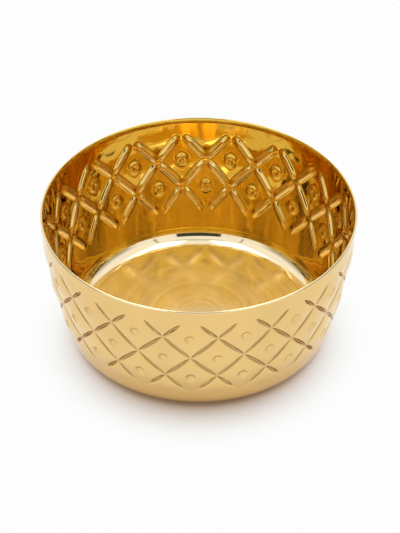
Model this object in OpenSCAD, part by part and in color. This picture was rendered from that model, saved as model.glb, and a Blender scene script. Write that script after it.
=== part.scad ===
// Offering bowl: one disc of brass sheet, deep drawn, then pressed from outside with a diamond lattice.
// Millimetres, +Z up. The origin is the middle of the ring that the bowl stands on.

/* [Bowl] */
// Outer diameter across the rim
rim_d = 120; // [100:1:150]
// Height from the ring that it stands on to the top of the rim
bowl_h = 55.5; // [50:0.5:62]
// Thickness of the sheet
sheet_t = 0.9; // [0.7:0.05:1.2]
// Width of the round along each edge of the rim
rim_edge = 0.28; // [0.15:0.01:0.33]

/* [Wall and base] */
// Radius of the wall's bulge, seen from the side
bulge_r = 290; // [240:5:400]
// Height above the rim at which the bulge would stand upright
bulge_rise = 21.4; // [14:0.2:26]
// Outer radius of the turn from the wall to the base
turn_r = 8.5; // [6:0.25:10]
// Height of the raised floor above what the bowl stands on
floor_lift = 2.8; // [1.6:0.1:3.4]
// Width of the flat ring that the bowl stands on
stand_w = 0.9; // [0.8:0.1:1.6]
// Width of the slope from that ring up to the floor
slope_w = 1.2; // [0.8:0.1:2]
// How far the slope underneath stands in from the slope on top, which keeps the sheet's thickness
slope_back = 0.6; // [0.4:0.05:0.7]

/* [Lattice] */
// Diamonds round the bowl
columns = 18; // [16:1:20]
// Drop from the rim to the top row of crossings
lattice_drop = 13.8; // [13:0.2:16]
// Height between two rows of crossings, as long as the lattice keeps clear of the turn
row_h = 10.8; // [9:0.1:11.4]
// Turn of the lattice about the bowl's axis, in degrees
lattice_turn = 17; // [0:0.5:20]
// Length of the loose grooves over the top row and under the bottom row, as a share of a whole groove
loose_share = 0.66; // [0.5:0.01:0.75]

/* [Relief] */
// Width of a groove at the middle of its length
groove_w = 1.5; // [1.1:0.1:1.9]
// Depth of a groove at the middle of its length
groove_depth = 0.65; // [0.4:0.05:0.9]
// Width of a dimple
dimple_w = 3.8; // [3.2:0.1:4.4]
// Depth of a dimple
dimple_depth = 0.8; // [0.4:0.05:1]
// How far the ridges and bosses inside spread past the grooves and dimples outside
inside_spread = 0.55; // [0.3:0.05:0.8]
// Swell of the plain metal between the grooves
pillow = 0.12; // [0:0.02:0.3]

/* [Hidden] */

// Colour of polished brass
brass = [0.86, 0.68, 0.36];
// Rows of crossings, and rows of dimples
rows = 3;
// Facets that each turn from wall to base is drawn with
turn_steps = 5;
// Lines that cross one diamond each way: its groove, the groove's edge, the dimple's edge, its middle and back
marks = 6;
// Lines of the band left out at its top and bottom, past the tips of the loose grooves
trim = 2;
levels = (rows + 1) * marks;
ring = columns * marks;

half_pitch = 180 / columns;
bulge_x = rim_d / 2 - sqrt(bulge_r * bulge_r - bulge_rise * bulge_rise);
bulge_z = bowl_h + bulge_rise;
turn_x = bulge_x + sqrt(pow(bulge_r - turn_r, 2) - pow(bulge_z - turn_r, 2));
turn_lean = atan2(bulge_z - turn_r, turn_x - bulge_x);
stand_r = turn_x - stand_w;
row_gap = min(row_h, (bowl_h - turn_r * (1 - sin(turn_lean)) - lattice_drop) / rows);

// Length of one groove, from crossing to crossing in the middle row
groove_l = norm([row_gap, (bulge_x + bulge_r) * PI * half_pitch / 180]);

// Where the lines across a diamond lie, from one groove to the next, for a side whose relief spreads
function mark_shares(spread) =
    let (g = (groove_w / 2 + spread) / groove_l, d = (dimple_w / 2 + spread) / groove_l)
    [0, g, 1 / 2 - d, 1 / 2, 1 / 2 + d, 1 - g];

// Place of a numbered line, counted in grooves
function line_at(i, shares) = floor(i / marks) + shares[i - marks * floor(i / marks)];

// Depth of a groove part way along, as a share: a lens from tip to tip
function lens(u) = u <= 0 || u >= 1 ? 0 : 4 * u * (1 - u);

// Depth of the groove that leaves a row of crossings for the next row down, as a share
function groove_share(row, u) =
    row < 0 ? lens((1 - u) / loose_share) :
    row > rows - 2 ? lens(u / loose_share) :
    lens(u);

// Height of the relief over the wall where two numbered lines meet
function relief(i, j, shares) =
    let (a = line_at(i, shares), b = line_at(j, shares), u = a - floor(a), v = b - floor(b),
         row = floor(a) + floor(b), middle = marks / 2)
    i + j <= trim || i + j >= levels - trim ? 0 :
    u == 0 && v == 0 ? 0 :
    u == 0 ? -groove_depth * groove_share(row - 1, v) :
    v == 0 ? -groove_depth * groove_share(row - 1, u) :
    row < 0 || row > rows - 1 ? 0 :
    u == 1 / 2 && v == 1 / 2 ? -dimple_depth :
    pillow * lens(u) * lens(v);

// A dimple's edge is drawn in from a square's corners to a circle
function round_in(u, v, edge) =
    abs(u) == abs(v) && abs(u) > 0 && abs(abs(u) - edge) < edge / marks ? 1 / sqrt(2) : 1;

// Point of the wall at a place in the lattice and a height over the outside
function wall_point(row, halves, out) =
    let (lean = asin((bowl_h - lattice_drop - row * row_gap - bulge_z) / bulge_r),
         r = bulge_x + (bulge_r + out) * cos(lean), a = lattice_turn + halves * half_pitch)
    [r * cos(a), r * sin(a), bulge_z + (bulge_r + out) * sin(lean)];

// Point of the lattice where two numbered lines meet, on the outside or on the inside
function lattice_point(i, j, shares, out) =
    let (a = line_at(i, shares), b = line_at(j, shares), u = a - floor(a) - 1 / 2, v = b - floor(b) - 1 / 2,
         pull = round_in(u, v, shares[marks / 2] - shares[marks / 2 - 1]),
         x = floor(a) + 1 / 2 + u * pull, y = floor(b) + 1 / 2 + v * pull)
    wall_point(x + y - 1, x - y + 1, out + relief(i, j, shares));

// One level of the lattice, all round
function lattice_ring(level, shares, out) =
    [for (q = [0:ring - 1]) let (m = 2 * q + level % 2)
        lattice_point((level + m) / 2, (level - m) / 2, shares, out)];

// A plain ring whose points stand over those of the lattice, or over every second one
function plain_ring(r, z, step) =
    let (shares = mark_shares(0))
    [for (q = [0:step:ring - 1]) let (a = lattice_turn + (2 * line_at(q, shares) + 1) * half_pitch)
        [r * cos(a), r * sin(a), z]];

// The base from the floor's edge down its slope to the ring that the bowl stands on, and on round the turn to the
// wall, for a face that lies inside the outer one and whose slope stands further out
function base_rings(inset, out) =
    concat([plain_ring(stand_r + out - slope_w, floor_lift + inset, 2), plain_ring(stand_r + out, inset, 2)],
           [for (s = [0:turn_steps]) let (a = -90 + (90 - turn_lean) * s / turn_steps)
               plain_ring(turn_x + (turn_r - inset) * cos(a), turn_r + (turn_r - inset) * sin(a), 2)]);

outer_shares = mark_shares(0);
inner_shares = mark_shares(inside_spread);
first = trim;
last = levels - trim;

base_out = base_rings(0, 0);
base_in = base_rings(sheet_t, slope_back);
wall_out = [for (level = [last:-1:first]) lattice_ring(level, outer_shares, 0)];
wall_in = [for (level = [first:last]) lattice_ring(level, inner_shares, -sheet_t)];
rim_rings = [plain_ring(rim_d / 2, bowl_h - rim_edge, 1),
             plain_ring(rim_d / 2 - rim_edge, bowl_h, 1),
             plain_ring(rim_d / 2 - sheet_t + rim_edge, bowl_h, 1),
             plain_ring(rim_d / 2 - sheet_t, bowl_h - rim_edge, 1)];

function flat(list) = [for (item = list) each item];
function reversed(list) = [for (i = [len(list) - 1:-1:0]) list[i]];

// Triangles between two rings of as many points; shift is 1 where the next ring's points lead by half a step
function strip(low, high, count, shift) =
    [for (q = [0:count - 1]) let (n = (q + 1) % count)
        each shift == 0 ?
            [[low + q, high + q, low + n], [low + n, high + q, high + n]] :
            [[low + q, high + n, low + n], [low + q, high + q, high + n]]];

// Triangles between a ring and one with twice as many points
function joining_strip(low, high, count, up) =
    [for (q = [0:count - 1]) let (n = (q + 1) % count, h = high + 2 * q, k = high + (2 * q + 2) % (2 * count))
        each [for (f = [[low + q, h, h + 1], [low + q, h + 1, low + n], [low + n, h + 1, k]])
            up ? f : [f[0], f[2], f[1]]]];

// Triangles from a ring to one point
function fan(low, count, point, up) =
    [for (q = [0:count - 1]) let (n = (q + 1) % count) up ? [low + q, point, low + n] : [low + n, point, low + q]];

module bowl() {
    half = ring / 2;
    base_n = len(base_out);
    wall_n = len(wall_out);
    rim_n = len(rim_rings);
    points = concat([[0, 0, floor_lift]], flat(base_out), flat(wall_out), flat(rim_rings), flat(wall_in),
                    flat(reversed(base_in)), [[0, 0, floor_lift + sheet_t]]);
    wall_at = 1 + base_n * half;
    rim_at = wall_at + wall_n * ring;
    inner_at = rim_at + rim_n * ring;
    inner_base_at = inner_at + wall_n * ring;
    faces = concat(
        fan(1, half, 0, false),
        [for (k = [0:base_n - 2]) each strip(1 + k * half, 1 + (k + 1) * half, half, 0)],
        joining_strip(wall_at - half, wall_at, half, true),
        [for (k = [0:wall_n - 2]) each strip(wall_at + k * ring, wall_at + (k + 1) * ring, ring, (last - k) % 2)],
        [for (k = [-1:rim_n - 1]) each strip(rim_at + k * ring, rim_at + (k + 1) * ring, ring, 0)],
        [for (k = [0:wall_n - 2]) each strip(inner_at + k * ring, inner_at + (k + 1) * ring, ring, (first + k) % 2)],
        joining_strip(inner_base_at, inner_base_at - ring, half, false),
        [for (k = [0:base_n - 2]) each strip(inner_base_at + k * half, inner_base_at + (k + 1) * half, half, 0)],
        fan(inner_base_at + (base_n - 1) * half, half, len(points) - 1, true));
    color(brass) polyhedron(points, faces, convexity = 8);
}

bowl();
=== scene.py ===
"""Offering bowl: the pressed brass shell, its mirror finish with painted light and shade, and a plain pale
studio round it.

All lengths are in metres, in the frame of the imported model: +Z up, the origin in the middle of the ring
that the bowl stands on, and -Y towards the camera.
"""
from __future__ import annotations

import logging
from dataclasses import dataclass
from enum import Enum, IntEnum
from typing import Sequence, Union

import bpy
import numpy as np
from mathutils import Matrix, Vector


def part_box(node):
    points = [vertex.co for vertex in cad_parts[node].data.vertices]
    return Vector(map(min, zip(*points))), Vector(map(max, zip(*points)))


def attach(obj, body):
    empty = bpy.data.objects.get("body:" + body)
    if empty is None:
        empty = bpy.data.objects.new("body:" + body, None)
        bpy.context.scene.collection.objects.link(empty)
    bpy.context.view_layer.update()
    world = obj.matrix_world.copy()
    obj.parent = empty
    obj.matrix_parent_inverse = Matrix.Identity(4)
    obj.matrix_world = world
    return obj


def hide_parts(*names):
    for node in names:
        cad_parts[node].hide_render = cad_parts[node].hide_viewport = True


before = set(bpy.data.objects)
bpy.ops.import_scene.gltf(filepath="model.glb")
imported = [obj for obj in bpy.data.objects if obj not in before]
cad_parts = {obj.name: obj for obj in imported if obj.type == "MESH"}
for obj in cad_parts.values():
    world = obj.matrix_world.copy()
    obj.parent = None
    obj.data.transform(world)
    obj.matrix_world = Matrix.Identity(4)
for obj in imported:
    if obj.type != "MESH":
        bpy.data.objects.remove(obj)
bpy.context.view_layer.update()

LOG = logging.getLogger("offering_bowl")
MM = 0.001
TINY = 1e-12
WHITE = (1.0, 1.0, 1.0, 1.0)
Array = np.ndarray
Socket = bpy.types.NodeSocket
Colour = tuple[float, float, float]
Paint = tuple[float, float, float, float]
Value = Union[Socket, float, tuple]


class Zone(Enum):
    """The places that were polished differently and are coloured as lit and shaded copies of one brass, as
    shares from the first to the last.
    """

    OUTSIDE = 0.0
    INSIDE_WALL = 1 / 3
    COVE = 2 / 3
    FLOOR = 1.0


class Part(IntEnum):
    """The parts of the bowl's surface, in order from the underside's middle to the floor's middle."""

    UNDERSIDE = 0
    OUTSIDE = 1
    RIM = 2
    INSIDE = 3
    BASE_TOP = 4


@dataclass(frozen=True)
class SheetCurve:
    """The bowl's section: a bulging wall, a round turn and a raised floor, in a plane through the axis.

    Attributes:
        rim_r: radius of the rim.
        height: height of the rim.
        thickness: thickness of the sheet.
        bulge_r: radius of the wall's bulge.
        bulge_rise: height over the rim at which the bulge would stand upright.
        turn_r: outer radius of the turn from the wall to the base.
        floor_lift: height of the floor's underside.
        stand_w: width of the flat ring that the bowl stands on.
        slope_w: width of the step from that ring up to the floor.
        slope_back: how far the step on top stands out from the one underneath.
        lip_r: radius of the rim's outer edge.
        edge_r: radius of the rim's inner edge.
        floor_shares: radii of the floor's rings, as shares of the step's inner one.
        wall_rings: rings under the lattice inside that are polished as the wall is and take its shaded
            colour.

    The other fields that end in rings count the rings of points over the stretch that they name.
    """

    rim_r: float
    height: float
    thickness: float = 0.9 * MM
    bulge_r: float = 290 * MM
    bulge_rise: float = 21.4 * MM
    turn_r: float = 8.5 * MM
    floor_lift: float = 2.8 * MM
    stand_w: float = 0.9 * MM
    slope_w: float = 1.2 * MM
    slope_back: float = 0.6 * MM
    lip_r: float = 0.6 * MM
    edge_r: float = 0.26 * MM
    floor_shares: tuple[float, ...] = (0.985, 0.7, 0.4, 0.15)
    lip_rings: int = 5
    rim_to_lattice_rings: int = 3
    lattice_to_turn_rings: int = 2
    turn_rings: int = 11
    slope_rings: int = 8
    wall_rings: int = 4

    @property
    def bulge_x(self) -> float:
        """Distance from the axis to the middle of the wall's bulge, which lies on the other side of it."""
        return self.rim_r - np.sqrt(self.bulge_r**2 - self.bulge_rise**2)

    @property
    def bulge_z(self) -> float:
        """Height of the middle of the wall's bulge."""
        return self.height + self.bulge_rise

    @property
    def turn_x(self) -> float:
        """Distance from the axis to the middle of the turn, which touches the bulge from inside."""
        return self.bulge_x + np.sqrt((self.bulge_r - self.turn_r) ** 2 - (self.bulge_z - self.turn_r) ** 2)

    @property
    def turn_lean(self) -> float:
        """Lean of the wall where it runs into the turn, in radians."""
        return float(np.arctan2(self.bulge_z - self.turn_r, self.turn_x - self.bulge_x))

    def lean_at(self, z: Array | float) -> Array:
        """Angle of the wall's outward normal over the horizontal at a height, in radians."""
        return np.arcsin((np.asarray(z) - self.bulge_z) / self.bulge_r)

    def wall(self, lean: Array, out: Array | float) -> tuple[Array, Array]:
        """Radius and height of the wall: the bulge's middle, plus its radius and a way out along the lean."""
        reach = self.bulge_r + out
        return self.bulge_x + reach * np.cos(lean), self.bulge_z + reach * np.sin(lean)

    def base(self, inset: float, top: float, shift: float = 0.0) -> tuple[Array, Array]:
        """Section from the wall at a height down round the turn, over the step and in to near the axis.

        The turn is an arc about its middle, and the step is half a cosine wave.

        Args:
            inset: depth of the face under the outside one.
            top: height at which the section starts, left out of it.
            shift: how far the step stands out from the one underneath.

        Returns:
            The radii and the heights, from the wall inward.
        """
        lean = np.linspace(self.lean_at(top), -self.turn_lean, self.lattice_to_turn_rings + 1)[1:]
        wall_r, wall_z = self.wall(lean, -inset)
        turn = np.linspace(-self.turn_lean, -np.pi / 2, self.turn_rings + 1)[1:]
        turn_r = self.turn_x + (self.turn_r - inset) * np.cos(turn)
        turn_z = self.turn_r + (self.turn_r - inset) * np.sin(turn)
        step = np.linspace(0, 1, self.slope_rings)
        step_r = self.turn_x - self.stand_w + shift - self.slope_w * step
        step_z = inset + self.floor_lift * (1 - np.cos(np.pi * step)) / 2
        floor_r = step_r[-1] * np.array(self.floor_shares)
        floor_z = np.full(floor_r.shape, inset + self.floor_lift)
        return (np.concatenate([wall_r, turn_r, step_r, floor_r]),
                np.concatenate([wall_z, turn_z, step_z, floor_z]))

    def rim(self, outer_top: float, inner_top: float) -> tuple[Array, Array]:
        """Section from the top of the lattice up the outside, over the rim's two edges and down the inside.

        Each edge is a quarter of a circle.

        Args:
            outer_top: height of the lattice's last line outside, left out of the section.
            inner_top: the same inside.

        Returns:
            The radii and the heights, from outside to inside.
        """
        lip, edge = (self.lean_at(self.height - r) for r in (self.lip_r, self.edge_r))
        band = self.rim_to_lattice_rings + 1
        out_r, out_z = self.wall(np.linspace(self.lean_at(outer_top), lip, band)[1:], 0.0)
        in_r, in_z = self.wall(np.linspace(self.lean_at(inner_top), edge, band)[:0:-1], -self.thickness)
        turn = np.linspace(0, np.pi / 2, self.lip_rings + 1)[1:]
        back, drop = 1 - np.cos(turn), 1 - np.sin(turn)
        lip_r, lip_z = out_r[-1] - self.lip_r * back, self.height - self.lip_r * drop
        edge_r, edge_z = in_r[0] + self.edge_r * back[::-1], self.height - self.edge_r * drop[::-1]
        return np.concatenate([out_r, lip_r, edge_r, in_r]), np.concatenate([out_z, lip_z, edge_z, in_z])


@dataclass(frozen=True)
class Relief:
    """What the press leaves on one face: grooves or ridges along the net, a dent or boss in each diamond.

    Attributes:
        groove_half: half the width of a groove or ridge at the middle of its length.
        groove_rise: its depth or height there.
        groove_flat: the flat share of its width.
        tip_share: share of its height at which the parabola along it is cut off.
        tip_power: how fast its width grows from its tips, and depth_power its depth.
        dimple_r: radius of a dimple or boss.
        dimple_rise: its depth or height.
        dimple_tip: how round its tip is.
        point_rise: how far the punch's point pushes its middle back, over point_share of its radius.
        pillow: swell of the plain metal, and pillow_power how fast it grows from a diamond's sides.
        bed: how far all of the patterned metal is pushed in, which comes on over bed_rows.
        groove_marks: distances from a groove's line at which mesh lines lie.
        dimple_marks: the same from a dimple's middle, and they are straight again square_past the last.
        side_soft: share of an S-curve in a groove's sides.
        flank_shade: how much darkening, partly painted shade and partly tarnished metal, a groove's sides
            get, and bottom_shade its bottom.
        ring_shade: how much painted shade darkens the crescent in a dimple.
        ring_at: radius of the crescent, and ring_width its width, as shares of the dimple's radius.
        ring_faces: how far up and how far left the crescent's middle lies, where the painted shade is
            darkest.
    """

    groove_half: float
    groove_rise: float
    groove_flat: float
    tip_share: float
    tip_power: float
    dimple_r: float
    dimple_rise: float
    dimple_tip: float
    point_rise: float
    pillow: float
    pillow_power: float
    bed: float
    bed_rows: float
    groove_marks: tuple[float, ...]
    dimple_marks: tuple[float, ...]
    depth_power: float = 0.8
    side_soft: float = 0.2
    point_share: float = 0.45
    square_past: float = 0.6 * MM
    flank_shade: float = 2.6
    bottom_shade: float = 0.45
    ring_shade: float = 0.62
    ring_at: float = 0.82
    ring_width: float = 0.20
    ring_faces: tuple[float, float] = (0.8, 0.6)

    def groove(self, across: Array, along: Array) -> Array:
        """Height of one groove: flat in the middle, sloping sides, and a plan that closes at both tips.

        Along the groove a parabola that is nought at the tips and one in the middle is cut off at a share of
        its height, so the groove keeps its width until near its tips. The sides are straight, blended with
        an S-curve.

        Args:
            across: distance from the groove's line.
            along: share of the way from tip to tip.

        Returns:
            The height over the wall, which is negative in a groove outside.
        """
        body = np.clip(4 * along * (1 - along) / self.tip_share, 0, 1)
        half = self.groove_half * body**self.tip_power + TINY
        side = np.clip((np.abs(across) / half - self.groove_flat) / (1 - self.groove_flat), 0, 1)
        side = side + self.side_soft * (side * side * (3 - 2 * side) - side)
        return -self.groove_rise * body**self.depth_power * (1 - side)

    def share_deep(self, depth: Array) -> Array:
        """How far up a ridge or boss of the inside a place stands, from 0 on the plain metal to 1."""
        return np.clip((depth - self.bed) / self.groove_rise, 0, 1)

    def dimple(self, distance: Array) -> Array:
        """Height of one dimple: a round-tipped cone, whose middle the punch's point pushes part way back.

        The cone is a hyperbola of the distance that is one in the middle and nought at the dimple's edge,
        and the point's mark is a bell curve.

        Args:
            distance: distance from the dimple's middle.

        Returns:
            The height over the wall.
        """
        s = distance / self.dimple_r
        tip = self.dimple_tip
        cone = np.clip((1 - (np.sqrt(s**2 + tip**2) - tip) / (np.sqrt(1 + tip**2) - tip)), 0, 1)
        return -self.dimple_rise * cone + self.point_rise * np.exp(-((s / self.point_share) ** 2))


OUTER_RELIEF = Relief(
    groove_half=0.92 * MM, groove_rise=0.67 * MM, groove_flat=0.16, tip_share=0.90, tip_power=0.62,
    dimple_r=2.1 * MM, dimple_rise=0.78 * MM, dimple_tip=1.5, point_rise=0.20 * MM,
    pillow=0.65 * MM, pillow_power=0.8, bed=0.12 * MM, bed_rows=0.6,
    groove_marks=(0, 0.15 * MM, 0.40 * MM, 0.66 * MM, 0.94 * MM, 1.5 * MM),
    dimple_marks=(0, 0.9 * MM, 1.6 * MM, 2.0 * MM, 2.4 * MM, 3.2 * MM),
)
INNER_RELIEF = Relief(
    groove_half=1.80 * MM, groove_rise=0.80 * MM, groove_flat=0.62, tip_share=0.70, tip_power=0.70,
    dimple_r=3.0 * MM, dimple_rise=1.25 * MM, dimple_tip=1.4, point_rise=1.05 * MM,
    pillow=0.35 * MM, pillow_power=0.9, bed=0.35 * MM, bed_rows=1.2,
    groove_marks=(0, 1.12 * MM, 1.45 * MM, 1.8 * MM, 2.4 * MM),
    dimple_marks=(0, 0.5 * MM, 1.0 * MM, 1.7 * MM, 2.4 * MM, 3.0 * MM, 3.9 * MM),
)


@dataclass(frozen=True)
class Lattice:
    """The net of grooves on one face: two families of slanting lines, a and b, that cross in rows.

    Attributes:
        curve: the bowl's section.
        relief: what the press leaves on this face.
        rows: rows of crossings, each with a dimple between neighbours.
        drop: drop from the rim to the top row.
        row_h: height between two rows.
        turn: turn of the net about the axis, in radians.
        loose_up: length of the loose grooves over the top row, as a share of a whole groove.
        loose_down: length of those under the bottom row.
        columns: diamonds round the bowl.
    """

    curve: SheetCurve
    relief: Relief
    rows: int
    drop: float
    row_h: float
    turn: float
    loose_up: float
    loose_down: float
    columns: int = 18

    @property
    def half_pitch(self) -> float:
        """Angle between neighbouring crossings of two rows, in radians."""
        return np.pi / self.columns

    @property
    def half_w(self) -> float:
        """Half the width of a diamond."""
        return float((self.curve.bulge_x + self.curve.bulge_r) * self.half_pitch)

    @property
    def groove_l(self) -> float:
        """Length of a groove from crossing to crossing."""
        return float(np.hypot(self.row_h, self.half_w))

    def row_z(self, row: Array | float) -> Array:
        """Height of a row, counted down from the top one."""
        return self.curve.height - self.drop - np.asarray(row) * self.row_h

    def marks(self) -> Array:
        """Shares of the way across a diamond at which mesh lines lie, closest at grooves and dimples.

        Returns:
            The shares from 0 up, which are the same counted from either side.
        """
        first = np.array(self.relief.groove_marks) / self.groove_l
        middle = 0.5 - np.array(self.relief.dimple_marks[::-1]) / self.groove_l
        half = np.concatenate([first, middle])
        return np.concatenate([half, 1 - half[-2:0:-1]])

    def line_at(self, index: Array, marks: Array) -> Array:
        """Place of a numbered mesh line, counted in whole diamonds."""
        count = len(marks)
        return np.floor_divide(index, count) + marks[np.mod(index, count)]

    def in_diamond(self, a: Array, b: Array) -> tuple[Array, Array, Array]:
        """A place's shares from its diamond's middle across both families, and whether that has a dimple."""
        row = np.floor(a) + np.floor(b)
        return a - np.floor(a) - 0.5, b - np.floor(b) - 0.5, (row >= 0) & (row <= self.rows - 1)

    def spread(self, x: Array, y: Array) -> Array:
        """Distance on the wall from a diamond's middle, for shares across both families."""
        return np.hypot((x - y) * self.half_w, (x + y) * self.row_h)

    def round_off(self, x: Array, y: Array) -> tuple[Array, Array]:
        """Squares of mesh lines about a diamond's middle drawn in to circles, which makes a dimple round.

        A point keeps its direction, and its distance goes from the circle's near the middle to the square's
        past the last mark.

        Args:
            x: share from the diamond's middle across one family of lines.
            y: the same across the other.

        Returns:
            The two shares, drawn in.
        """
        square = np.maximum(np.abs(x), np.abs(y)) * self.groove_l
        start, end = self.relief.dimple_marks[-2], self.relief.dimple_marks[-1] + self.relief.square_past
        blend = np.clip((square - start) / (end - start), 0, 1)
        scale = (1 - blend) * square / (self.spread(x, y) + TINY) + blend
        return x * scale, y * scale

    def grooves(self, line: Array, other: Array) -> Array:
        """Height left by one family of grooves, where line is a whole number on a groove.

        Args:
            line: place across the family.
            other: place along it.

        Returns:
            The height over the wall.
        """
        nearest = np.round(line)
        row = nearest + np.floor(other) - 1
        share = other - np.floor(other)
        share = np.where(row < 0, (1 - share) / self.loose_up, share)
        share = np.where(row > self.rows - 2, share / self.loose_down, share)
        share = np.where((row < -1) | (row > self.rows - 1), 0, share)
        return self.relief.groove((line - nearest) * self.groove_l, np.clip(share, 0, 1))

    def height(self, a: Array, b: Array) -> Array:
        """Height of the relief over the wall at a place in the net.

        Between the grooves the metal swells as the product of two parabolas across the diamond, to a power,
        and both that and the bed come on and go off as an S-curve at the top and bottom.

        Args:
            a: place across one family of grooves, counted in whole diamonds.
            b: place across the other.

        Returns:
            The height along the wall's outward normal.
        """
        relief = self.relief
        x, y, dimpled = self.in_diamond(a, b)
        swell = relief.pillow * np.clip((1 - 4 * x * x) * (1 - 4 * y * y), 0, 1) ** relief.pillow_power
        dimple = np.where(dimpled, relief.dimple(self.spread(x, y)), 0)
        ends = np.clip(np.minimum(a + b, self.rows + 1 - a - b) / relief.bed_rows, 0, 1)
        ease = ends * ends * (3 - 2 * ends)
        return self.grooves(a, b) + self.grooves(b, a) + dimple + ease * (swell - relief.bed)

    def shade(self, a: Array, b: Array) -> Array:
        """How dark a place is painted: most on a groove's sides, partly tarnished metal and partly painted
        shade, and painted shade in a crescent in each dimple.

        The crescent is a ring inside the dimple's edge that fades from its upper left to its lower right:
        painted shade where the dimple's upper edge would reflect the shadowed floor.

        Args:
            a: place across one family of grooves, counted in whole diamonds.
            b: place across the other.

        Returns:
            The share, from 0 to 1.
        """
        relief = self.relief
        deep = np.clip(-(self.grooves(a, b) + self.grooves(b, a)) / relief.groove_rise, 0, 1)
        x, y, dimpled = self.in_diamond(a, b)
        away = self.spread(x, y)
        off = away / relief.dimple_r - relief.ring_at
        up, left = relief.ring_faces
        # Painted shade: the crescent is darkest on the dimple's upper left, where a reflection of the
        # shadowed floor would fall.
        upper_left = -(up * (x + y) * self.row_h + left * (x - y) * self.half_w) / (away + TINY)
        ring = np.where(dimpled, np.exp(-((off / relief.ring_width) ** 2)) * (1 + upper_left) / 2, 0)
        # Painted shade, partly tarnished metal: darkest on the groove's sides, less on its bottom.
        groove = relief.flank_shade * deep * (1 - deep) + relief.bottom_shade * deep
        return np.clip(groove + relief.ring_shade * ring, 0, 1)

    def points(self, inset: float, roll: int) -> tuple[Array, Array, Array]:
        """Patterned band of the wall, as levels of points all round.

        Level t holds the points where mesh lines i of one family and j of the other meet with i + j = t, so
        its points lead or trail those of the next level by half a step.

        Args:
            inset: depth of the face under the outside one.
            roll: which place round the first point of each level takes.

        Returns:
            Points of shape (levels, points round, 3), from the top level down, how far each stands in from
            the plain wall, and how much painted shade and tarnished metal darken it.
        """
        marks = self.marks()
        count = len(marks)
        level = np.arange((self.rows + 1) * count + 1)[:, None]
        m = 2 * (np.arange(self.columns * count)[None, :] + roll) + level % 2
        a = self.line_at((level + m) // 2, marks)
        b = self.line_at((level - m) // 2, marks)
        x, y = self.round_off(*self.in_diamond(a, b)[:2])
        a, b = np.floor(a) + 0.5 + x, np.floor(b) + 0.5 + y
        height = self.height(a, b)
        radius, z = self.curve.wall(self.curve.lean_at(self.row_z(a + b - 1)), height - inset)
        angle = self.turn + (a - b + 1) * self.half_pitch
        points = np.stack([radius * np.cos(angle), radius * np.sin(angle), z], axis=-1)
        return points, -height, self.shade(a, b)

    def angles(self, row: int, roll: int) -> Array:
        """Angles of the points of the band's level that lies on a row, for the plain rings beyond it.

        Args:
            row: the row, which is -1 for the band's top level and the number of rows for its last.
            roll: which place round the first point takes.

        Returns:
            The angles, in radians.
        """
        marks = self.marks()
        half = (row + 1) * len(marks) // 2
        place = np.arange(self.columns * len(marks)) + roll
        between = self.line_at(half + place, marks) - self.line_at(half - place, marks)
        return self.turn + (between + 1) * self.half_pitch


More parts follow.
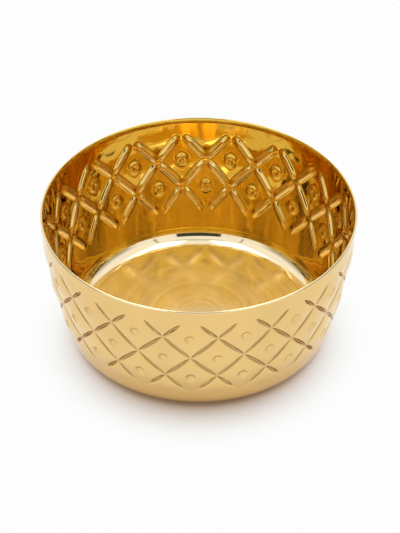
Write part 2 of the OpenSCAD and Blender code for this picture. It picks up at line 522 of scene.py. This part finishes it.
@dataclass(frozen=True)
class PressedBowl:
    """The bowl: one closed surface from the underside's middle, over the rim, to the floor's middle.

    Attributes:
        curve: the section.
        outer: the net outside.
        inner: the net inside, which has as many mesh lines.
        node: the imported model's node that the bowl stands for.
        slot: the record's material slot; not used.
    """

    curve: SheetCurve
    outer: Lattice
    inner: Lattice
    node: str = "bowl"
    slot: str = "polished_brass"

    @property
    def count(self) -> int:
        """Points round each ring."""
        return self.outer.columns * len(self.outer.marks())

    @property
    def roll(self) -> int:
        """Place of the inside's first point: half a diamond round, beside the outside's first point."""
        return len(self.inner.marks()) // 2

    def turned(self, section: tuple[Array, Array], angle: Array) -> Array:
        """Section carried round the axis: each ring is a circle of the section's radius at its height.

        Args:
            section: radii and heights of the rings.
            angle: angles of the points, one row for all rings or one for each.

        Returns:
            Points of shape (rings, points round, 3).
        """
        r, z = (number[:, None] for number in section)
        angle = np.broadcast_to(angle, (len(r), self.count))
        return np.stack([r * np.cos(angle), r * np.sin(angle), np.broadcast_to(z, angle.shape)], axis=-1)

    def parts(self) -> tuple[list[Array], Array, Array]:
        """Works out the rings of points of each part.

        Returns:
            The parts in order, each of shape (rings, points round, 3), how much painted shade and tarnished
            metal darken the outside's points, and how far the inside's stand in from the plain wall.
        """
        curve, outer, inner = self.curve, self.outer, self.inner
        under_r, under_z = curve.base(0.0, float(outer.row_z(outer.rows)))
        top = curve.base(curve.thickness, float(inner.row_z(inner.rows)), curve.slope_back)
        rim = curve.rim(float(outer.row_z(-1)), float(inner.row_z(-1)))
        across = np.linspace(0, 1, len(rim[0]))[:, None]
        rim_angles = outer.angles(-1, 0) * (1 - across) + inner.angles(-1, self.roll) * across
        outside, _, shade = outer.points(0.0, 0)
        inside, proud, _ = inner.points(curve.thickness, self.roll)
        return [
            self.turned((under_r[::-1], under_z[::-1]), outer.angles(outer.rows, 0)),
            outside[::-1],
            self.turned(rim, rim_angles),
            inside,
            self.turned(top, inner.angles(inner.rows, self.roll)),
        ], shade[::-1], proud

    def strips(self, first: int, rings: int) -> Array:
        """Four-sided faces between neighbouring rings whose points stand over each other.

        Args:
            first: index of the first ring's first point.
            rings: how many rings there are.

        Returns:
            Faces of four points.
        """
        q = np.arange(self.count)
        n = (q + 1) % self.count
        low = first + np.arange(rings - 1)[:, None] * self.count
        high = low + self.count
        return np.stack([low + q, low + n, high + n, high + q], axis=-1).reshape(-1, 4)

    def diamonds(self, first: int, levels: int, down: bool) -> tuple[Array, Array]:
        """Four-sided faces of a patterned band, each over two levels, and the half faces along its two ends.

        Args:
            first: index of the band's first point.
            levels: levels in the band.
            down: True where the stored levels run from top to bottom.

        Returns:
            Faces of four points, and faces of three, which point outward.
        """
        order = np.arange(levels) if down else np.arange(levels)[::-1]
        base = first + order * self.count
        q = np.arange(self.count)[None, :]

        def at(level: Array, m: Array) -> Array:
            """Index of the point at a level and a place round, both counted as in the band."""
            return base[level] + np.mod((m - level % 2) // 2, self.count)

        level = np.arange(levels - 2)[:, None]
        m = 2 * q + level % 2
        round_one = ((0, 0), (1, -1), (2, 0), (1, 1))
        quads = np.stack([at(level + below, m + aside) for below, aside in round_one], axis=-1)
        top, low = np.array([[0]]), np.array([[levels - 1]])
        m = 2 * q
        upper = np.stack([at(top, m), at(top + 1, m + 1), at(top, m + 2)], axis=-1)
        lower = np.stack([at(low, m), at(low, m + 2), at(low - 1, m + 1)], axis=-1)
        tris = np.concatenate([upper.reshape(-1, 3), lower.reshape(-1, 3)])
        turn = -1 if down else 1
        return quads.reshape(-1, 4)[:, ::turn], tris[:, ::turn]

    def faces(self, starts: Array) -> tuple[Array, Array]:
        """Joins each ring to the next, and the first and the last ring to the points in the middle.

        Args:
            starts: index of each part's first point, and of the underside's middle.

        Returns:
            Faces of four points, and faces of three.
        """
        middle = int(starts[-1])
        quads, tris = [], []
        for part, down in ((Part.OUTSIDE, False), (Part.INSIDE, True)):
            levels = int(starts[part + 1] - starts[part]) // self.count
            four, three = self.diamonds(int(starts[part]), levels, down)
            quads.append(four)
            tris.append(three)
        for part in (Part.UNDERSIDE, Part.RIM, Part.BASE_TOP):
            first = max(int(starts[part]) - self.count, 0)
            last = min(int(starts[part + 1]) + self.count, middle)
            quads.append(self.strips(first, (last - first) // self.count))
        q = np.arange(self.count)
        n = (q + 1) % self.count
        tris.append(np.stack([q, np.full(self.count, middle), n], axis=-1))
        last = middle - self.count
        tris.append(np.stack([last + q, last + n, np.full(self.count, middle + 1)], axis=-1))
        return np.concatenate(quads), np.concatenate(tris)

    def numbers(self, starts: Array, shade: Array, proud: Array) -> dict[str, Array]:
        """Works out what the finish reads at each point: its zone, whose colour paints light and shade, how
        far it takes the paler crest colour, partly rubbed and partly a painted highlight, and how dark it is,
        partly tarnished metal and partly painted shade.

        Args:
            starts: index of each part's first point, and of the underside's middle.
            shade: how much painted shade and tarnished metal darken the outside's points.
            proud: how far the inside's points stand in from the plain wall.

        Returns:
            One number for each point, by name.
        """
        curve, count, middle = self.curve, self.count, starts[-1]
        inside_from = starts[Part.RIM] + (curve.rim_to_lattice_rings + curve.lip_rings) * count
        cove_from = starts[Part.BASE_TOP] + curve.wall_rings * count
        floor_from = middle - (1 + len(curve.floor_shares)) * count
        # The zones carry lit and shaded copies of one brass colour, which paint light and shade, and their
        # own roughness.
        polish_and_shade = np.full(middle + 2, Zone.OUTSIDE.value)
        polish_and_shade[inside_from:cove_from] = Zone.INSIDE_WALL.value
        polish_and_shade[cove_from:floor_from] = Zone.COVE.value
        polish_and_shade[floor_from:middle] = Zone.FLOOR.value
        polish_and_shade[-1] = Zone.FLOOR.value
        wear_and_highlight, shade_and_age = np.zeros(len(polish_and_shade)), np.zeros(len(polish_and_shade))
        # Painted highlight, partly rubbed metal: the rim's outer round and the inside's ridges and bosses
        # take the paler crest colour.
        lip_from = starts[Part.RIM] + curve.rim_to_lattice_rings * count
        wear_and_highlight[lip_from:lip_from + (curve.lip_rings + 1) * count] = 1
        wear_and_highlight[starts[Part.INSIDE]:starts[Part.BASE_TOP]] = self.inner.relief.share_deep(proud).ravel()
        # Painted shade, partly tarnished metal, in the outside's grooves and dimple crescents.
        shade_and_age[starts[Part.OUTSIDE]:starts[Part.RIM]] = shade.ravel()
        return {"polish_and_shade_zone": polish_and_shade, "crest_wear_and_highlight": wear_and_highlight, "groove_shade_and_tarnish": shade_and_age}

    def build(self) -> bpy.types.Object:
        """Joins the parts into one closed, smooth mesh, from whole arrays of points and faces.

        Returns:
            The bowl's object, at the origin.
        """
        parts, shade, proud = self.parts()
        starts = np.cumsum([0] + [len(part) * self.count for part in parts])
        under = self.curve.floor_lift
        middles = np.array([[0, 0, under], [0, 0, under + self.curve.thickness]])
        points = np.concatenate([part.reshape(-1, 3) for part in parts] + [middles])
        quads, tris = self.faces(starts)
        corners = np.concatenate([quads.ravel(), tris.ravel()]).astype(np.int32)
        sizes = np.concatenate([np.full(len(quads), 4), np.full(len(tris), 3)]).astype(np.int32)
        mesh = bpy.data.meshes.new("pressed_bowl")
        mesh.vertices.add(len(points))
        mesh.vertices.foreach_set("co", points.astype(np.float32).ravel())
        mesh.loops.add(len(corners))
        mesh.loops.foreach_set("vertex_index", corners)
        mesh.polygons.add(len(sizes))
        mesh.polygons.foreach_set("loop_start", (np.cumsum(sizes) - sizes).astype(np.int32))
        mesh.polygons.foreach_set("use_smooth", np.ones(len(sizes), dtype=bool))
        mesh.update(calc_edges=True)
        mesh.validate()
        for name, values in self.numbers(starts, shade, proud).items():
            mesh.attributes.new(name, "FLOAT", "POINT").data.foreach_set("value", values.astype(np.float32))
        obj = bpy.data.objects.new("pressed_bowl", mesh)
        bpy.context.scene.collection.objects.link(obj)
        return obj

    def dress(self, obj: bpy.types.Object, finish: PolishedBrass) -> None:
        """Gives the bowl its finish and hands it to the frame.

        Args:
            obj: the bowl's object.
            finish: the finish.
        """
        obj.data.materials.append(finish.material())
        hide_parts(self.node)
        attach(obj, "root")


@dataclass(frozen=True)
class Wiring:
    """The node tree of a material or of the world, with one method for each kind of node that is used here.

    A method fills its node's inputs with plain values or with other nodes' outputs, and hands on its output.
    """

    tree: bpy.types.NodeTree

    def fill(self, entry: Socket, value: Value) -> None:
        """Joins an input to another node's output, or gives it a plain value.

        Args:
            entry: the input.
            value: the output or the plain value.
        """
        if isinstance(value, Socket):
            self.tree.links.new(value, entry)
        else:
            entry.default_value = value

    def add(self, kind: str, inputs: dict[str | int, Value], operation: str = "") -> bpy.types.Node:
        """Adds a node.

        Args:
            kind: the kind of node.
            inputs: what goes into its inputs, by their names or numbers.
            operation: its operation, where it has one.

        Returns:
            The node.
        """
        node = self.tree.nodes.new(kind)
        if operation:
            node.operation = operation
        for name, value in inputs.items():
            self.fill(node.inputs[name], value)
        return node

    def place(self) -> Socket:
        """Object coordinates."""
        return self.add("ShaderNodeTexCoord", {}).outputs["Object"]

    def apart(self, vector: Socket) -> bpy.types.bpy_prop_collection:
        """The X, Y and Z of a vector."""
        return self.add("ShaderNodeSeparateXYZ", {0: vector}).outputs

    def together(self, x: Value = 0.0, y: Value = 0.0, z: Value = 0.0) -> Socket:
        """Vector made of an X, a Y and a Z."""
        return self.add("ShaderNodeCombineXYZ", {0: x, 1: y, 2: z}).outputs[0]

    def attribute(self, name: str) -> Socket:
        """Number that the mesh holds for each point.

        Args:
            name: the number's name.

        Returns:
            The number.
        """
        node = self.add("ShaderNodeAttribute", {})
        node.attribute_name = name
        return node.outputs["Fac"]

    def math(self, operation: str, first: Value, second: Value = 0.0) -> Socket:
        """Result of one operation on two numbers."""
        return self.add("ShaderNodeMath", {0: first, 1: second}, operation).outputs[0]

    def stretched(self, vector: Socket, factors: Colour) -> Socket:
        """Vector times a factor for each of its three numbers."""
        return self.add("ShaderNodeVectorMath", {0: vector, 1: factors}, "MULTIPLY").outputs[0]

    def scaled(self, vector: Socket, factor: Socket) -> Socket:
        """Vector or colour times one factor."""
        return self.add("ShaderNodeVectorMath", {0: vector, "Scale": factor}, "SCALE").outputs[0]

    def length(self, vector: Socket) -> Socket:
        """Length of a vector."""
        return self.add("ShaderNodeVectorMath", {0: vector}, "LENGTH").outputs["Value"]

    def noise(self, place: Socket, scale: float, detail: float) -> Socket:
        """Cloudy number from 0 to 1 at a place."""
        inputs = {"Vector": place, "Scale": scale, "Detail": detail}
        return self.add("ShaderNodeTexNoise", inputs).outputs["Fac"]

    def carried(self, number: Socket, start: tuple[float, float], end: tuple[float, float],
                smooth: bool = False) -> Socket:
        """Number carried over from one range to another, and held at its ends.

        Args:
            number: the number.
            start: the range that it comes from.
            end: the range that it goes to.
            smooth: True for an S-curve between the ends.

        Returns:
            The number in the new range.
        """
        names = ("Value", "From Min", "From Max", "To Min", "To Max")
        node = self.add("ShaderNodeMapRange", dict(zip(names, (number, *start, *end))))
        node.interpolation_type = "SMOOTHSTEP" if smooth else "LINEAR"
        return node.outputs["Result"]

    def blended(self, share: Socket, first: Value, second: Value) -> Socket:
        """Colour part way from one to another.

        Args:
            share: how far along to take it, from 0 to 1.
            first: the colour at 0.
            second: the colour at 1.

        Returns:
            The colour.
        """
        node = self.add("ShaderNodeMix", {})
        node.data_type = "RGBA"
        for number, value in ((0, share), (6, first), (7, second)):
            self.fill(node.inputs[number], value)
        return node.outputs[2]

    def ramp(self, share: Socket, stops: Sequence[tuple[float, Colour]]) -> Socket:
        """Colour that runs from one stop's to the next one's.

        Args:
            share: where along the ramp to read it.
            stops: places along the ramp, in order, and the colour at each.

        Returns:
            The colour.
        """
        node = self.add("ShaderNodeValToRGB", {0: share})
        elements = node.color_ramp.elements
        for number, (place, colour) in enumerate(stops):
            stop = elements[number] if number < 2 else elements.new(place)
            stop.position = place
            stop.color = (*colour, 1)
        return node.outputs["Color"]

    def levels(self, share: Socket, stops: Sequence[tuple[float, float]]) -> Socket:
        """Number that runs from one stop's to the next one's, as the grey of a ramp."""
        return self.ramp(share, [(place, (level, level, level)) for place, level in stops])

    def bumped(self, height: Socket, depth: float, under: Socket | None = None) -> Socket:
        """Normal of a surface that a height field from 0 to 1 raises by up to a depth.

        Args:
            height: the field.
            depth: how far it raises the surface where it is 1.
            under: normal of the surface, where that is bumped already.

        Returns:
            The normal.
        """
        inputs = {"Strength": 1.0, "Distance": depth, "Height": height}
        if under is not None:
            inputs["Normal"] = under
        return self.add("ShaderNodeBump", inputs).outputs["Normal"]

    def open_sky(self, distance: float, samples: int, towards: Socket) -> Socket:
        """Share of the sky that nothing near hides.

        Args:
            distance: how near a thing has to be to hide it.
            samples: rays that look for such things.
            towards: the middle of the sky.

        Returns:
            The share, from 0 to 1.
        """
        node = self.add("ShaderNodeAmbientOcclusion", {"Distance": distance, "Normal": towards})
        node.samples = samples
        return node.outputs["AO"]

    def seen_rays(self) -> Socket:
        """Tells rays from the camera, and those that metal or glass sends on, from plain light.

        Returns:
            1 for such rays, and 0 for plain light.
        """
        path = self.add("ShaderNodeLightPath", {}).outputs
        sent_on = self.math("MAXIMUM", path["Is Glossy Ray"], path["Is Transmission Ray"])
        return self.math("MAXIMUM", path["Is Camera Ray"], sent_on)

    def glow(self, colour: Value, level: float) -> Socket:
        """Surface that gives off a colour, where a level of 1 is white for a white one."""
        return self.add("ShaderNodeEmission", {"Color": colour, "Strength": level}).outputs[0]

    def either(self, share: Socket, first: Socket, second: Socket) -> Socket:
        """Surface that goes from the first to the second as the share goes from 0 to 1."""
        return self.add("ShaderNodeMixShader", {0: share, 1: first, 2: second}).outputs[0]

    def surface(self, shader: Socket) -> None:
        """Makes a shader the material's surface."""
        self.fill(self.tree.nodes["Material Output"].inputs["Surface"], shader)


@dataclass(frozen=True)
class PolishedBrass:
    """Mirror-polished brass sheet: paler on its crests and rim, partly rubbed bright and partly a painted
    highlight, and brown in its grooves, partly tarnished and partly painted shade.

    Colours, roughness and depths come zone by zone, in the order of Zone, and the zones' colour is painted
    light and shade: lit and shaded copies of one brass. Clouds darken the colour, and turned marks and
    upright waves bend its reflections. Each of these is noise of a scale and a detail.

    Attributes:
        worn_and_highlit: paler colour of the rim and of the ridges inside, partly rubbed metal and partly a
            painted highlight.
        shade_and_tarnish: dark brown for the grooves and dimple crescents, partly tarnished metal and partly
            painted shade, and shade_and_tarnish_share how much of it shows.
        fresh_grazed: tint of reflections at a grazing angle, and shade_and_tarnish_grazed the same where that
            painted shade and tarnished metal lie.
        cloud_share: how much the clouds darken the colour, and cloud_range the noise over which they do.
        mark_rough: numbers by which the marks multiply the roughness over the noise of mark_range.
        wave_stretch: scale of the waves along each axis, which draws them out upright.
    """

    # Painted light and shade: lit and shaded copies of one brass, zone by zone.
    lit_and_shaded_colours: tuple[Colour, ...] = (
        (0.848, 0.580, 0.225), (0.785, 0.510, 0.085), (0.970, 0.820, 0.540), (0.955, 0.785, 0.480))
    # Painted highlight, partly rubbed metal: the paler colour of the rim and the inside's crests.
    worn_and_highlit: Paint = (0.930, 0.750, 0.430, 1)
    # Painted shade, partly tarnished metal: the dark brown of the grooves and dimple crescents.
    shade_and_tarnish: Paint = (0.16, 0.07, 0.02, 1)
    shade_and_tarnish_share: float = 0.72
    fresh_grazed: Paint = WHITE
    shade_and_tarnish_grazed: Paint = (0.62, 0.36, 0.18, 1)
    roughness: tuple[float, ...] = (0.060, 0.030, 0.070, 0.185)
    marks_depth: tuple[float, ...] = (0.15, 0.02, 0.10, 0.05)
    waves_depth: tuple[float, ...] = (0.15, 0.8, 0.10, 0.10)
    cloud_scale: float = 55.0
    cloud_detail: float = 3.0
    cloud_range: tuple[float, float] = (0.3, 0.7)
    cloud_share: float = 0.07
    mark_scale: float = 2000.0
    mark_detail: float = 2.0
    mark_range: tuple[float, float] = (0.35, 0.65)
    mark_rough: tuple[float, float] = (0.75, 1.25)
    mark_bump: float = 0.010 * MM
    wave_scale: float = 95.0
    wave_detail: float = 1.0
    wave_stretch: Colour = (1.0, 1.0, 0.3)
    wave_bump: float = 0.30 * MM

    def material(self) -> bpy.types.Material:
        """Builds the material's nodes.

        Returns:
            The material.
        """
        mat = bpy.data.materials.new("polished_brass")
        mat.use_nodes = True
        wiring = Wiring(mat.node_tree)
        place, zone = wiring.place(), wiring.attribute("polish_and_shade_zone")
        # Painted shade, partly tarnished metal: it browns the colour and the grazing tint in the grooves and
        # dimple crescents.
        shade_and_age = wiring.math("MULTIPLY", wiring.attribute("groove_shade_and_tarnish"), self.shade_and_tarnish_share)
        marks = self.turned_marks(wiring, place)
        shader = mat.node_tree.nodes["Principled BSDF"].inputs
        wiring.fill(shader["Metallic"], 1.0)
        wiring.fill(shader["Base Color"], self.colour(wiring, place, zone, shade_and_age))
        wiring.fill(shader["Specular Tint"], wiring.blended(shade_and_age, self.fresh_grazed, self.shade_and_tarnish_grazed))
        spread = wiring.carried(marks, self.mark_range, self.mark_rough)
        rough = wiring.math("MULTIPLY", self.number(wiring, zone, self.roughness), spread)
        wiring.fill(shader["Roughness"], rough)
        wiring.fill(shader["Normal"], self.normal(wiring, place, zone, marks))
        return mat

    def colour(self, wiring: Wiring, place: Socket, zone: Socket, shade_and_age: Socket) -> Socket:
        """Colour of the zone, which paints light and shade as lit and shaded copies of one brass; paler on
        the crests and rim, partly rubbed and partly a painted highlight; browner in the grooves, partly
        tarnished metal and partly painted shade; and darkened a little by clouds.

        Args:
            wiring: the material's nodes.
            place: the object coordinates.
            zone: the zone, whose colour carries painted light and shade.
            shade_and_age: how much painted shade and tarnished metal brown a place.

        Returns:
            The colour.
        """
        # Painted light and shade: each zone takes a lit or a shaded copy of one brass colour.
        clean = wiring.ramp(zone, [(stop.value, colour) for stop, colour in zip(Zone, self.lit_and_shaded_colours)])
        # Painted highlight, partly rubbed metal: crests and rim take a paler colour.
        crest = wiring.blended(wiring.attribute("crest_wear_and_highlight"), clean, self.worn_and_highlit)
        clouds = wiring.noise(place, self.cloud_scale, self.cloud_detail)
        darker = wiring.carried(clouds, self.cloud_range, (1 - self.cloud_share, 1.0))
        # Painted shade, partly tarnished metal: grooves and dimple crescents turn dark brown.
        return wiring.scaled(wiring.blended(shade_and_age, crest, self.shade_and_tarnish), darker)

    def number(self, wiring: Wiring, zone: Socket, values: Sequence[float]) -> Socket:
        """Number that runs from one zone's value to the next zone's."""
        return wiring.levels(zone, [(stop.value, value) for stop, value in zip(Zone, values)])

    def normal(self, wiring: Wiring, place: Socket, zone: Socket, marks: Socket) -> Socket:
        """Normal of the sheet: soft upright waves, with fine turned marks on top.

        Args:
            wiring: the material's nodes.
            place: the object coordinates.
            zone: which zone a place lies in.
            marks: the turned marks.

        Returns:
            The normal.
        """
        waves = wiring.noise(wiring.stretched(place, self.wave_stretch), self.wave_scale, self.wave_detail)
        wavy = wiring.math("MULTIPLY", waves, self.number(wiring, zone, self.waves_depth))
        fine = wiring.math("MULTIPLY", marks, self.number(wiring, zone, self.marks_depth))
        return wiring.bumped(fine, self.mark_bump, wiring.bumped(wavy, self.wave_bump))

    def turned_marks(self, wiring: Wiring, place: Socket) -> Socket:
        """Fine lines round the axis, from noise read at the distance from the axis and the height alone.

        Args:
            wiring: the material's nodes.
            place: the object coordinates.

        Returns:
            The noise, from 0 to 1.
        """
        parts = wiring.apart(place)
        reach = wiring.length(wiring.together(parts["X"], parts["Y"]))
        return wiring.noise(wiring.together(reach, parts["Z"]), self.mark_scale, self.mark_detail)


@dataclass(frozen=True)
class Card:
    """A flat card of the light tent, which only reflections see, its level 1 for white.

    Each corner is given as its elevation and its turn from the camera's side, in degrees, as seen from the
    bowl, and all of them lie at the card's reach.
    """

    name: str
    corners: tuple[tuple[float, float], ...]
    level: float
    reach: float = 0.9

    def points(self, middle_z: float) -> Array:
        """Corners in space: each direction as a vector, times the card's reach.

        Args:
            middle_z: height of the point in the bowl that the directions start from.

        Returns:
            Points of shape (corners, 3).
        """
        up, aside = np.radians(np.array(self.corners)).T
        ways = np.stack([np.cos(up) * np.sin(aside), -np.cos(up) * np.cos(aside), np.sin(up)], axis=-1)
        return ways * self.reach + np.array([0, 0, middle_z])


CARDS = (
    Card("tent_opening", ((51, -23.2), (51, 23.2), (26, 19.6), (26, -19.6)), 0.05),
    Card("tent_seam_left", ((66, -59), (66, -57), (37, -41), (37, -43)), 0.2),
    Card("tent_seam_right", ((66, 57), (66, 59), (37, 43), (37, 41)), 0.2),
    Card("tent_front_band", ((80, -50), (80, 50), (67, 40), (67, -40)), 0.68, 0.95),
)


@dataclass(frozen=True)
class Studio:
    """A pale floor, a light tent with soft lamps over it, and a camera at the photograph's angle.

    Attributes:
        rim_z: height of the bowl's rim, and rim_r its radius.
        distance_share: distance from the camera to the rim's middle, in radii of the rim.
        elevation: how high the camera stands over the rim, and pitch how far down it looks, in radians.
        rim_pixels: pixels that the rim's radius takes in a picture of frame_pixels in height.
        aside_share: how far right the camera stands, in radii of the rim.
        floor_white: level of the open floor to the camera and to reflections.
        floor_colour: colour of the floor to plain light.
        shadow_reach: how near the bowl has to be to shade the floor.
        shadow_lean: how far the open sky leans back from straight up, in radians.
        shadow_stops: the floor's colour by how open the sky is, a painted shadow in its glow.
        sky_level: level of the surroundings to plain light.
        tent_level: level of the tent in front and behind.
        tent_stops: levels of its sides by share of its height.
        tent_sides: shares of its radius, to the left or right, at which a side starts and is full.
        lamp_aside: how far left or right of the bowl a lamp hangs, and lamp_back how far behind it.
        lamp_size: its width from left to right and its length from front to back.
        lamp_level: how bright its face is, where 1 is white.
    """

    rim_z: float
    rim_r: float
    distance_share: float = 13.0
    elevation: float = np.radians(38.01)
    pitch: float = np.radians(39.60)
    rim_pixels: float = 158.682
    frame_pixels: float = 533.0
    sensor: float = 36.0
    near: float = 10 * MM
    aside_share: float = 0.008
    floor_size: float = 4.0
    floor_white: float = 0.983
    floor_colour: Paint = (0.85, 0.84, 0.82, 1)
    floor_roughness: float = 0.8
    shadow_reach: float = 30 * MM
    shadow_samples: int = 32
    shadow_lean: float = np.radians(25.0)
    shadow_stops: tuple[tuple[float, Colour], ...] = (
        (0.10, (0.191, 0.116, 0.062)), (0.20, (0.343, 0.239, 0.159)), (0.30, (0.524, 0.420, 0.333)),
        (0.37, (0.684, 0.601, 0.536)), (0.45, (0.813, 0.766, 0.721)), (0.52, (0.886, 0.870, 0.829)),
        (0.60, (0.955, 0.955, 0.938)), (0.72, (0.990, 0.999, 0.990)), (1.00, (1.000, 1.000, 1.000)))
    sky_level: float = 0.75
    tent_r: float = 0.95
    tent_h: float = 1.055
    tent_faces: int = 64
    tent_level: float = 0.97
    tent_stops: tuple[tuple[float, float], ...] = ((0.0, 0.20), (0.52, 0.28), (0.70, 0.5), (1.0, 1.0))
    tent_sides: tuple[float, float] = (0.84, 0.97)
    lamp_aside: float = 0.205
    lamp_back: float = 0.26
    lamp_z: float = 0.92
    lamp_size: tuple[float, float] = (0.24, 0.80)
    lamp_level: float = 1.7

    def camera(self) -> None:
        """Sets the camera: the lens gives the bowl's rim its width in the picture."""
        distance = self.distance_share * self.rim_r
        data = bpy.data.cameras.new("camera")
        data.sensor_width = self.sensor
        data.lens = self.distance_share * self.rim_pixels * self.sensor / self.frame_pixels
        data.clip_start = self.near
        obj = bpy.data.objects.new("camera", data)
        obj.location = (self.aside_share * self.rim_r, -distance * np.cos(self.elevation),
                        self.rim_z + distance * np.sin(self.elevation))
        obj.rotation_euler = (np.pi / 2 - self.pitch, 0, 0)
        bpy.context.scene.collection.objects.link(obj)
        bpy.context.scene.camera = obj

    def staged(self, name: str, points: Array,
               faces: Sequence[Sequence[int]]) -> tuple[bpy.types.Object, Wiring]:
        """Adds a stage object and its own material.

        Args:
            name: name of the object, its mesh and its material.
            points: corners.
            faces: indices of the corners of each face.

        Returns:
            The object, and its material's nodes.
        """
        mesh = bpy.data.meshes.new(name)
        mesh.from_pydata(points.tolist(), [], faces)
        obj = bpy.data.objects.new(name, mesh)
        mat = bpy.data.materials.new(name)
        mat.use_nodes = True
        mesh.materials.append(mat)
        bpy.context.scene.collection.objects.link(obj)
        return obj, Wiring(mat.node_tree)

    def floor(self) -> None:
        """Lays the pale floor: near white to the camera and to reflections, and darker beside the bowl.

        The shadow is painted into the glow that the camera and reflections see: it is how much of the sky
        over a point the bowl hides within a short reach.
        """
        half = self.floor_size / 2
        corners = np.array([(-half, -half, 0), (half, -half, 0), (half, half, 0), (-half, half, 0)])
        _, wiring = self.staged("studio_floor", corners, [(0, 1, 2, 3)])
        plain = wiring.tree.nodes["Principled BSDF"]
        plain.inputs["Base Color"].default_value = self.floor_colour
        plain.inputs["Roughness"].default_value = self.floor_roughness
        to_sky = wiring.together(0.0, float(np.sin(self.shadow_lean)), float(np.cos(self.shadow_lean)))
        sky = wiring.open_sky(self.shadow_reach, self.shadow_samples, to_sky)
        glow = wiring.glow(wiring.ramp(sky, self.shadow_stops), self.floor_white)
        wiring.surface(wiring.either(wiring.seen_rays(), plain.outputs[0], glow))

    def world(self) -> None:
        """Makes the surroundings white to the camera and to reflections, and plain grey as a light."""
        world = bpy.data.worlds.new("studio")
        bpy.context.scene.world = world
        world.use_nodes = True
        wiring = Wiring(world.node_tree)
        back = world.node_tree.nodes["Background"]
        back.inputs["Color"].default_value = WHITE
        strength = wiring.carried(wiring.seen_rays(), (0.0, 1.0), (self.sky_level, 1.0))
        wiring.fill(back.inputs["Strength"], strength)

    def reflected(self, name: str, points: Array, faces: Sequence[Sequence[int]]) -> Wiring:
        """Adds a part of the tent, which all rays pass but those that metal sends on.

        Args:
            name: name of the part.
            points: corners.
            faces: indices of the corners of each face.

        Returns:
            Its material's nodes.
        """
        obj, wiring = self.staged(name, points, faces)
        obj.visible_camera = False
        obj.visible_diffuse = False
        obj.visible_transmission = False
        obj.visible_volume_scatter = False
        obj.visible_shadow = False
        wiring.tree.nodes.remove(wiring.tree.nodes["Principled BSDF"])
        return wiring

    def tent(self) -> None:
        """Sets up the tent's round wall and its flat cards.

        The wall is white in front and behind, and its two sides are dim near the floor and white at the top.
        """
        count = self.tent_faces
        near = np.arange(count)
        far = (near + 1) % count
        turn = near * 2 * np.pi / count
        ring = np.stack([self.tent_r * np.cos(turn), self.tent_r * np.sin(turn), np.zeros(count)], axis=-1)
        faces = np.stack([near, far, far + count, near + count], axis=-1).tolist()
        top = ring + np.array([0, 0, self.tent_h])
        wiring = self.reflected("tent_wall", np.concatenate([ring, top]), faces)
        place = wiring.apart(wiring.place())
        share = wiring.math("DIVIDE", place["Z"], self.tent_h)
        dim = wiring.levels(share, self.tent_stops)
        start, full = (side * self.tent_r for side in self.tent_sides)
        front = wiring.carried(wiring.math("ABSOLUTE", place["X"]), (full, start), (0.0, 1.0), smooth=True)
        pale = (self.tent_level, self.tent_level, self.tent_level, 1.0)
        wiring.surface(wiring.glow(wiring.blended(front, dim, pale), 1.0))
        for card in CARDS:
            outline = tuple(range(len(card.corners)))
            wiring = self.reflected(card.name, card.points(self.rim_z / 2), [outline])
            wiring.surface(wiring.glow(WHITE, card.level))

    def lamp(self, name: str, side: int) -> None:
        """Hangs one soft strip lamp over the bowl, whose power is pi times its brightness and its area.

        Args:
            name: the lamp's name.
            side: -1 for the left and 1 for the right.
        """
        data = bpy.data.lights.new(name, "AREA")
        data.shape = "RECTANGLE"
        data.size, data.size_y = self.lamp_size
        data.energy = self.lamp_level * np.pi * data.size * data.size_y
        obj = bpy.data.objects.new(name, data)
        obj.location = (side * self.lamp_aside, self.lamp_back, self.lamp_z)
        bpy.context.scene.collection.objects.link(obj)

    def build(self) -> None:
        """Sets up the whole studio."""
        bpy.context.scene.view_settings.view_transform = "Standard"
        self.camera()
        self.floor()
        self.world()
        self.tent()
        self.lamp("lamp_left", -1)
        self.lamp("lamp_right", 1)


def main() -> None:
    logging.basicConfig(level=logging.INFO, format="%(name)s: %(message)s")
    low, high = (np.array(corner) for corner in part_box("bowl"))
    curve = SheetCurve(rim_r=float(min(high[0], high[1], -low[0], -low[1])), height=float(high[2]))
    Studio(rim_z=curve.height, rim_r=curve.rim_r).build()
    outer = Lattice(curve=curve, relief=OUTER_RELIEF, rows=3, drop=13.8 * MM, row_h=10.8 * MM,
                    turn=np.radians(17.0), loose_up=0.66, loose_down=0.66)
    inner = Lattice(curve=curve, relief=INNER_RELIEF, rows=2, drop=18.8 * MM, row_h=12.0 * MM,
                    turn=np.radians(7.0), loose_up=0.9, loose_down=0.9)
    bowl = PressedBowl(curve=curve, outer=outer, inner=inner)
    piece = bowl.build()
    bowl.dress(piece, PolishedBrass())
    LOG.info("%s: %d points, %d faces", piece.name, len(piece.data.vertices), len(piece.data.polygons))


if __name__ == "__main__":
    main()
